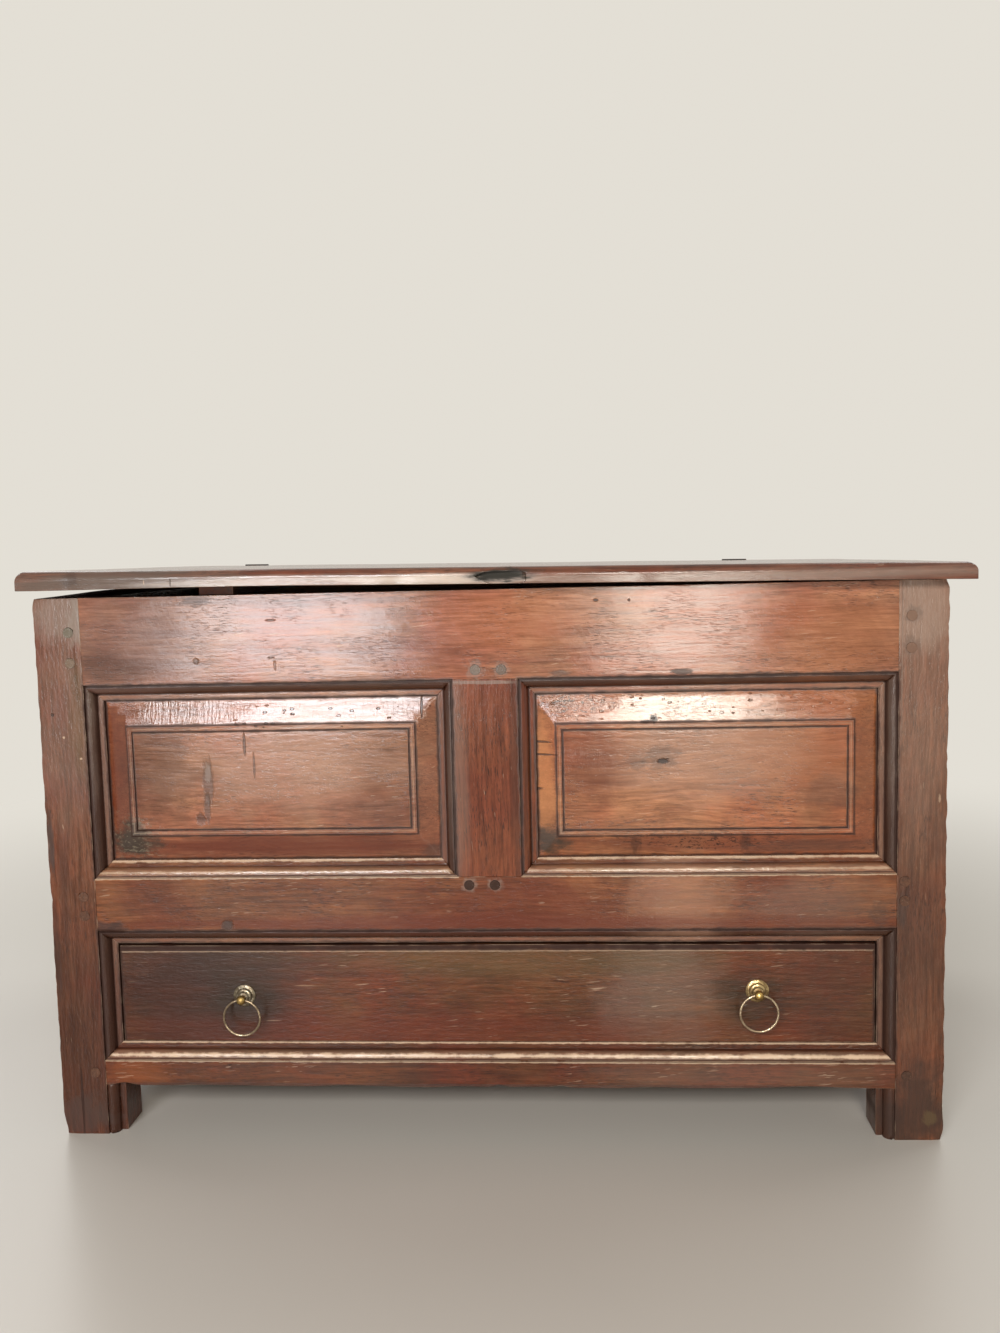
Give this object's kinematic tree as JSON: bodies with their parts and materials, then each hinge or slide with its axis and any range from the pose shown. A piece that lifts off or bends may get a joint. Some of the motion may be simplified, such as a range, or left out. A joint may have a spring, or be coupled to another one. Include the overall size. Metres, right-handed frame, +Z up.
{
  "type": "mule chest",
  "caption": "Small joined chest with a hinged one-board lid, raised and fielded front panels and a long drawer with ring pulls, on feet that are the ends of its corner posts.",
  "frame": {"origin": "on the floor, under the middle of the lid", "axes": "+X to the right seen from the front, +Y from the front to the back, +Z up"},
  "size_m": [0.7197, 0.43, 0.4574],
  "materials": {
    "polished_oak": "waxed, dark red-brown",
    "plain_oak": "dry, unpolished",
    "peg_oak": "dark end grain",
    "brass": "tarnished, polished by touch on the ball",
    "iron": "dark wrought wire"
  },
  "bodies": {
    "carcass": {"front_left_stile": "polished_oak", "front_right_stile": "polished_oak", "rear_left_stile": "plain_oak", "rear_right_stile": "plain_oak", "front_bottom_rail": "polished_oak", "front_middle_rail": "polished_oak", "front_top_rail": "polished_oak", "front_muntin": "polished_oak", "front_left_panel": "polished_oak", "front_right_panel": "polished_oak", "back_bottom_rail": "plain_oak", "back_middle_rail": "plain_oak", "back_top_rail": "plain_oak", "back_muntin": "plain_oak", "back_left_panel": "plain_oak", "back_right_panel": "plain_oak", "back_lower_panel": "plain_oak", "left_bottom_rail": "polished_oak", "left_middle_rail": "polished_oak", "left_top_rail": "polished_oak", "left_upper_panel": "polished_oak", "left_lower_panel": "polished_oak", "left_drawer_runner": "plain_oak", "left_drawer_guide": "plain_oak", "left_hinge_staple": "iron", "right_bottom_rail": "polished_oak", "right_middle_rail": "polished_oak", "right_top_rail": "polished_oak", "right_upper_panel": "polished_oak", "right_lower_panel": "polished_oak", "right_drawer_runner": "plain_oak", "right_drawer_guide": "plain_oak", "right_hinge_staple": "iron", "floor_front_ledger": "plain_oak", "floor_rear_ledger": "plain_oak", "floor_board_1": "plain_oak", "floor_board_2": "plain_oak", "floor_board_3": "plain_oak", "front_pegs": "peg_oak", "back_pegs": "peg_oak", "side_pegs": "peg_oak"},
    "lid": {"lid_board": "polished_oak", "lid_left_batten": "plain_oak", "lid_right_batten": "plain_oak", "lid_batten_nails": "iron", "left_hinge_eye": "iron", "right_hinge_eye": "iron"},
    "drawer": {"drawer_front": "polished_oak", "drawer_left_side": "plain_oak", "drawer_right_side": "plain_oak", "drawer_back": "plain_oak", "drawer_bottom": "plain_oak", "drawer_nails": "iron", "left_pull_rose": "brass", "left_pull_eye": "brass", "right_pull_rose": "brass", "right_pull_eye": "brass"},
    "left_ring": {"left_pull_ring": "brass"},
    "right_ring": {"right_pull_ring": "brass"}
  },
  "joints": [
    {"name": "lid_hinge", "type": "hinge", "parent": "carcass", "child": "lid", "pos_m": [-0.00475, 0.2065, 0.426], "axis": [-1, 0, 0], "range_deg": [0, 105]},
    {"name": "drawer_slide", "type": "slide", "parent": "carcass", "child": "drawer", "axis": [0, -1, 0], "range_m": [0, 0.27]},
    {"name": "left_ring_swing", "type": "hinge", "parent": "drawer", "child": "left_ring", "pos_m": [-0.20325, -0.2005, 0.113], "axis": [-1, 0, 0], "range_deg": [-15, 160]},
    {"name": "right_ring_swing", "type": "hinge", "parent": "drawer", "child": "right_ring", "pos_m": [0.20425, -0.2005, 0.117], "axis": [-1, 0, 0], "range_deg": [-15, 160]}
  ]
}
